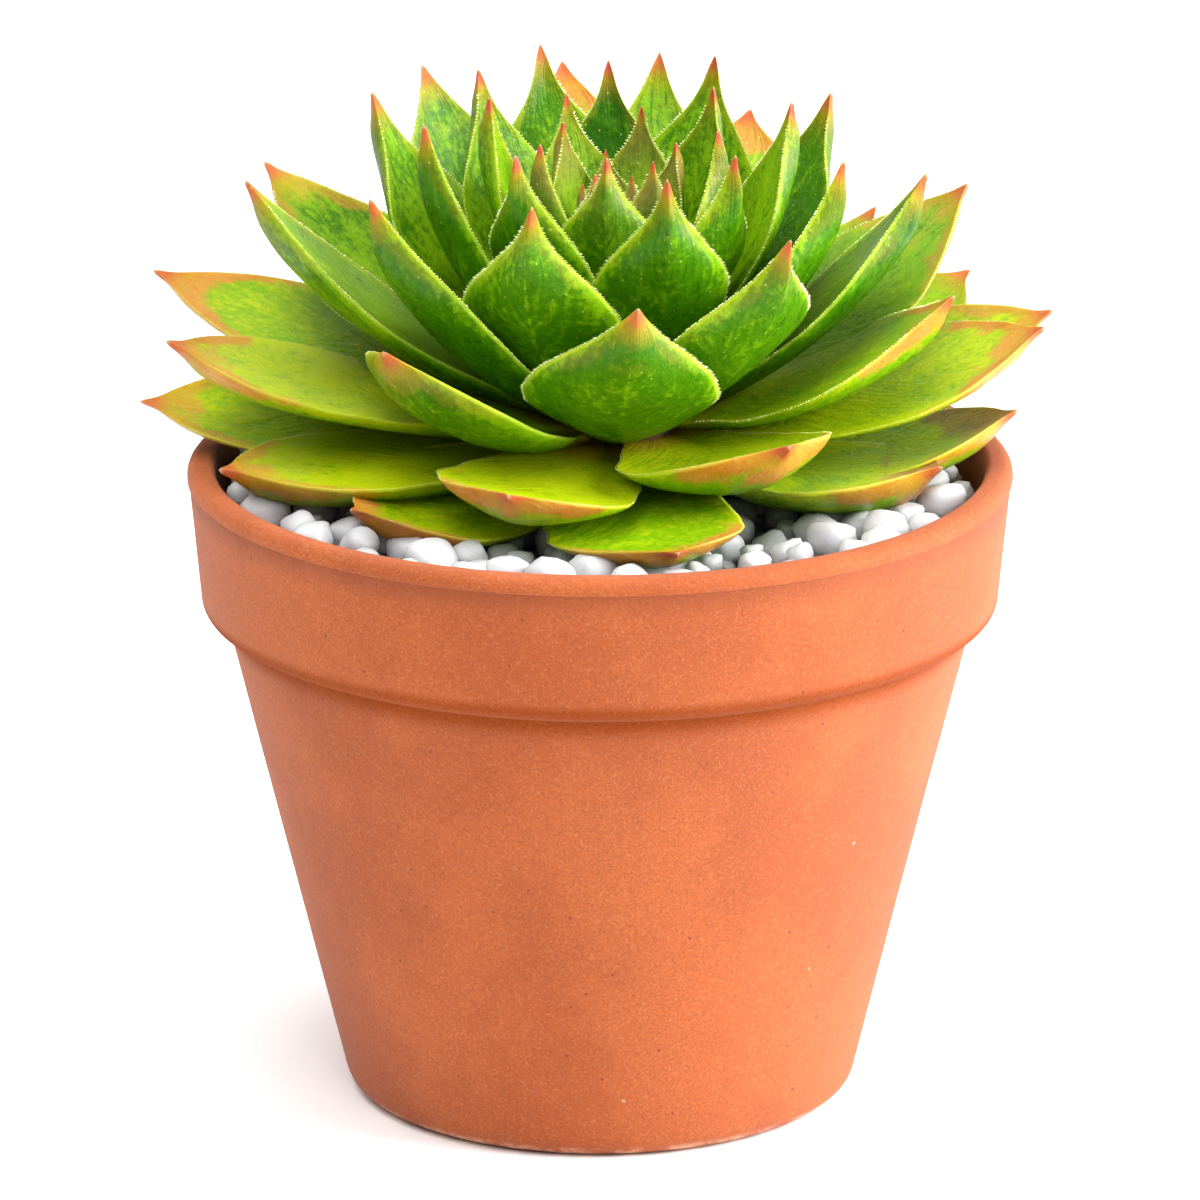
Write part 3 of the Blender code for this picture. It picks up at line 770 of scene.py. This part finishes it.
def make_stones():
    draw = random.Random(STONE_SEED)
    forms = stone_forms()
    stones = []
    for count, small, large, bed in STONE_LAYERS:
        places, sizes = spread(count, small, large, draw)
        for (x, y), size in zip(places, sizes):
            stone = own_copy(forms[draw.randrange(STONE_FORMS)])
            stretch = [draw.uniform(least, most) for least, most in STONE_STRETCH]
            scale = Matrix.Diagonal((*stretch, 1.0))
            spin = Matrix.Rotation(draw.uniform(0, math.tau), 4, "Z")
            lean = Matrix.Rotation(draw.uniform(-STONE_TILT, STONE_TILT), 4, "X")
            out = (math.hypot(x, y) - BED_RISE_FROM) / (BED_RISE_TO - BED_RISE_FROM)
            rise = BED_RISE * within(out)
            top = bed + rise + draw.uniform(-1, 1) * STONE_STAGGER + STONE_STANDS * size
            place = Matrix.Translation((x, y, top))
            stone.data.transform(place @ spin @ lean @ scale @ Matrix.Scale(size, 4))
            tint = within(draw.gauss(*STONE_TINT))
            add_values(stone.data, "tint", [tint] * len(stone.data.vertices))
            stones.append(stone)
    for form in forms:
        bpy.data.objects.remove(form)
    piece = join(stones, "white_stones")
    piece.data.materials.clear()
    piece.data.materials.append(stone_material())
    return piece


# Leaves

def leaf_form(index, draw):
    """Everything that shapes one leaf, from its age t (0 oldest, 1 youngest) and its shifts."""
    t = index / (LEAF_COUNT - 1)
    turn, out, up = SHIFTS.get(index, (0, 0, 0))
    roll, wider, deeper, sway, sag = BUILDS.get(index, (0, 1, 1, 0, 0))
    azimuth = math.radians(FIRST_AZIMUTH - GOLDEN_ANGLE * index + turn)
    reach = (cubic(REACH, t) + out) * MM
    height = (cubic(TIP_HEIGHT, t) + up) * MM + LEAN * reach * math.sin(azimuth)
    return {
        "index": index,
        "t": t,
        "start": Vector((cubic(ROOT_RADIUS, t) * MM, cubic(ROOT_HEIGHT, t) * MM)),
        "end": Vector((reach, height)),
        "half_width": cubic(LEAF_WIDTH, t) * wider * MM / 2,
        "depth": cubic(LEAF_DEPTH, t) * deeper * MM,
        "sway": sway * MM,
        "sag": sag * MM,
        "bend": math.radians(cubic(LEAF_BEND, t)),
        "roll": math.radians(
            roll + draw.uniform(-ROLL_SPREAD, ROLL_SPREAD) - FACE_LEAN * math.cos(azimuth)),
        "young": within((t - SHAPE_TURNS[0]) / (SHAPE_TURNS[1] - SHAPE_TURNS[0])),
        "turn": Matrix.Rotation(azimuth, 3, "Z"),
    }


def leaf_point(form, s, side, rise):
    """A point of a leaf: s from root to tip, side -1 to 1, rise in leaf depths above its margin."""
    start, end = form["start"], form["end"]
    chord = end - start
    slope = math.atan2(chord.y, chord.x)
    handle = chord.length * SPINE_HANDLE
    bend = form["bend"]
    first = start + handle * Vector((math.cos(slope - bend), math.sin(slope - bend)))
    second = end - handle * Vector((math.cos(slope + bend), math.sin(slope + bend)))
    r = 1 - s
    spine = r ** 3 * start + 3 * r * r * s * first + 3 * r * s * s * second + s ** 3 * end
    tangent = r * r * (first - start) + 2 * r * s * (second - first) + s * s * (end - second)
    tangent.normalize()
    normal = Vector((-tangent.y, tangent.x))
    breadth = (1 - form["young"]) * along(OLD_OUTLINE, s) + form["young"] * along(YOUNG_OUTLINE, s)
    index = form["index"]
    wave = noise.noise(Vector((s * 5, side * 1.5, index * 7.3))) * MARGIN_WAVE
    wave *= min(1.0, 4 * s) * (1 - s) ** 0.5
    uneven = 1 + MARGIN_UNEVEN * noise.noise(Vector((s * 9, side, index * 3.1)))
    bow = math.sin(math.pi * s)
    across = side * form["half_width"] * breadth * uneven + form["sway"] * bow
    lift = rise * form["depth"] * along(FULLNESS, s) + wave * abs(side) - form["sag"] * bow
    roll = form["roll"]
    x = across * math.cos(roll) - lift * math.sin(roll)
    n = across * math.sin(roll) + lift * math.cos(roll)
    flat = spine + normal * n
    return form["turn"] @ Vector((flat.x, -x, flat.y)) + Vector((ROSETTE_X, ROSETTE_Y, 0.0))


def leaf_blank():
    """A ball with its poles along X: the start of every leaf."""
    deselect()
    bpy.ops.mesh.primitive_uv_sphere_add(
        segments=LEAF_SIDES, ring_count=LEAF_STATIONS, radius=1.0, rotation=(0, math.radians(90), 0))
    blank = bpy.context.active_object
    bpy.ops.object.transform_apply(location=False, rotation=True, scale=False)
    bpy.ops.object.shade_smooth()
    return blank


def make_leaf(blank, form):
    leaf = own_copy(blank)
    index = form["index"]
    draw = (index * LEAF_STEP) % 1.0
    rows = {"along": [], "across": [], "under": [], "dry": []}
    dryness = DRY.get(index, 0.0)
    for vert in leaf.data.vertices:
        ring = math.acos(within(-vert.co.x, -1.0)) / math.pi
        s = 1 - (1 - ring) ** TIP_CROWDING
        girth = math.sqrt(max(1e-12, 1 - vert.co.x ** 2))
        side, height = vert.co.y / girth, vert.co.z / girth
        if ring < POLE or ring > 1 - POLE:
            side, rise = 0.0, POLE_RISE
        elif height > 0:
            rise = -DISH * (1 - side * side)
        else:
            rise = -(max(0.0, 1 - abs(side) ** BELLY[0])) ** BELLY[1]
        rows["along"].append(s)
        rows["across"].append(side)
        rows["under"].append(1.0 if height < UNDER_FROM else 0.0)
        towards_tip = max(0.0, (s - DRY_FROM) / (1 - DRY_FROM)) ** DRY_CURVE
        rows["dry"].append(dryness * (1 - DRY_SLANT * side) * towards_tip)
        vert.co = leaf_point(form, s, side, rise)
    count = len(leaf.data.vertices)
    for name, values in rows.items():
        add_values(leaf.data, name, values)
    add_values(leaf.data, "age", [form["t"]] * count)
    add_values(leaf.data, "draw", [draw] * count)
    add_values(leaf.data, "tone_and_painted_light", [LEAF_TONES_AND_PAINTED_LIGHT.get(index, TONE_SPREAD * (draw - 0.5))] * count)
    blush = BLUSH.get(index, max(LEAST_BLUSH, OLDEST_BLUSH - form["t"]))
    add_values(leaf.data, "blush", [blush] * count)
    mesh = bmesh.new()
    mesh.from_mesh(leaf.data)
    if mesh.calc_volume(signed=True) < 0:
        bmesh.ops.reverse_faces(mesh, faces=mesh.faces)
        mesh.to_mesh(leaf.data)
    mesh.free()
    return leaf


def tooth_blank():
    deselect()
    bpy.ops.mesh.primitive_cone_add(
        vertices=3, radius1=TOOTH_RADIUS, radius2=0, depth=TOOTH_LENGTH,
        location=(0, 0, TOOTH_LENGTH / 2))
    bpy.ops.object.transform_apply(location=True, rotation=False, scale=False)
    return bpy.context.active_object


def make_teeth(forms):
    """The fringe of short pale teeth along every margin."""
    draw = random.Random(TOOTH_SEED)
    step = 0.02
    inside = 0.85
    blank = tooth_blank()
    fringe = bmesh.new()
    for form in forms:
        for side in (-1, 1):
            s = TEETH_FROM
            while s < TEETH_TO:
                here = leaf_point(form, s, side, 0)
                inward = leaf_point(form, s, side * inside, 0)
                ahead = leaf_point(form, s + step, side, 0)
                along_edge = (ahead - here).normalized()
                lean = along_edge * draw.uniform(0.0, TOOTH_LEAN)
                stray = Vector([draw.uniform(-TOOTH_STRAY, TOOTH_STRAY) for _ in range(3)])
                outward = ((here - inward).normalized() + lean + stray).normalized()
                size = draw.uniform(*TOOTH_SIZES) * (OLD_TOOTH if form["t"] < OLD_LEAVES else 1.0)
                first = len(fringe.verts)
                fringe.from_mesh(blank.data)
                fringe.verts.ensure_lookup_table()
                place = Matrix.Translation(here - outward * TOOTH_SUNK)
                turn = Vector((0, 0, 1)).rotation_difference(outward).to_matrix().to_4x4()
                matrix = place @ turn @ Matrix.Scale(size, 4)
                for vert in fringe.verts[first:]:
                    vert.co = matrix @ vert.co
                edge_length = max(0.3 * MM, (ahead - here).length) / step
                s += TOOTH_SPACING * draw.uniform(*TOOTH_GAPS) / edge_length
    mesh = bpy.data.meshes.new("leaf_teeth")
    fringe.to_mesh(mesh)
    fringe.free()
    bpy.data.objects.remove(blank)
    teeth = bpy.data.objects.new("leaf_teeth", mesh)
    bpy.context.scene.collection.objects.link(teeth)
    mesh.materials.append(tooth_material())
    return teeth


def make_stem():
    neck = (STEM_RADIUS, cubic(ROOT_HEIGHT, 0.0) * MM - NECK)
    foot = (STEM_RADIUS, STEM_CUT_Z + STEM_CUT_BEVEL)
    profile = [
        (STEM_RADIUS * STEM_CUT_SHARE, STEM_CUT_Z),
        foot,
        *steps(foot, neck, 8),
        neck,
        *((radius, cubic(ROOT_HEIGHT, t) * MM) for radius, t in reversed(CROWN)),
        (CROWN_POINT_RADIUS, cubic(ROOT_HEIGHT, 1.0) * MM + CROWN_POINT),
    ]
    stem = turned("stem", profile, STEM_SIDES, False)
    stem.data.transform(Matrix.Translation((ROSETTE_X, ROSETTE_Y, 0.0)))
    select_only([stem])
    bpy.ops.object.mode_set(mode="EDIT")
    bpy.ops.mesh.select_all(action="DESELECT")
    bpy.ops.mesh.select_non_manifold()
    bpy.ops.mesh.edge_face_add()
    bpy.ops.object.mode_set(mode="OBJECT")
    bpy.ops.object.shade_smooth()
    stem.data.materials.append(stem_material())
    return stem


def make_rosette():
    draw = random.Random(LEAF_SEED)
    forms = [leaf_form(index, draw) for index in range(LEAF_COUNT)]
    blank = leaf_blank()
    material = leaf_material()
    leaves = [make_leaf(blank, form) for form in forms]
    bpy.data.objects.remove(blank)
    outer = join(leaves[:OUTER_LEAVES], "outer_leaves")
    inner = join(leaves[OUTER_LEAVES:], "inner_leaves")
    for piece in (outer, inner):
        piece.data.materials.append(material)
    return [outer, inner, make_teeth(forms), make_stem()]


# Stage

def make_stage():
    deselect()
    bpy.ops.mesh.primitive_plane_add(size=FLOOR_SIDE, location=(0, 0, 0))
    floor = bpy.context.active_object
    floor.name = "floor"
    paint = Shader("pale_floor")
    paint.set({"Base Color": FLOOR_WHITE, "Roughness": 0.9})
    floor.data.materials.append(paint.material)


def make_light(name, place, aim, size, power):
    bpy.ops.object.light_add(type="AREA", location=place)
    light = bpy.context.active_object
    light.name = name
    light.data.size = size
    light.data.energy = power
    light.rotation_euler = (Vector(aim) - Vector(place)).to_track_quat("-Z", "Y").to_euler()


def make_lights():
    scene = bpy.context.scene
    scene.world = bpy.data.worlds.new("studio")
    scene.world.use_nodes = True
    nodes = scene.world.node_tree.nodes
    links = scene.world.node_tree.links
    sky = nodes["Background"]
    sky.inputs["Color"].default_value = (1.0, 1.0, 1.0, 1.0)
    rise = nodes.new("ShaderNodeVectorMath")
    rise.operation = "DOT_PRODUCT"
    links.new(nodes.new("ShaderNodeTexCoord").outputs["Generated"], rise.inputs[0])
    rise.inputs[1].default_value = SKY_RISE
    strength = nodes.new("ShaderNodeMapRange")
    strength.inputs["From Min"].default_value = SKY_DARK_FROM
    strength.inputs["To Min"].default_value = SKY_STRENGTH[0]
    strength.inputs["To Max"].default_value = SKY_STRENGTH[1]
    links.new(rise.outputs["Value"], strength.inputs["Value"])
    links.new(strength.outputs["Result"], sky.inputs["Strength"])
    for name, (place, aim, size, power) in STUDIO_LIGHTS.items():
        make_light(name, place, aim, size, power)


def make_camera():
    bpy.ops.object.camera_add(location=CAMERA_PLACE)
    camera = bpy.context.active_object
    aim = Vector(CAMERA_AIM) - Vector(CAMERA_PLACE)
    camera.rotation_euler = aim.to_track_quat("-Z", "Y").to_euler()
    camera.data.lens = CAMERA_LENS
    camera.data.sensor_width = CAMERA_SENSOR
    bpy.context.scene.camera = camera


make_camera()
make_lights()
make_stage()

pot = make_pot()
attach(pot, "root")
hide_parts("pot")

stones = make_stones()
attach(stones, "root")
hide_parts("pebbles")

for part in make_rosette():
    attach(part, "root")
    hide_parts("rosette")

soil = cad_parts["soil"]
soil.data.materials.clear()
soil.data.materials.append(soil_material())

bpy.context.scene.view_settings.view_transform = "Standard"
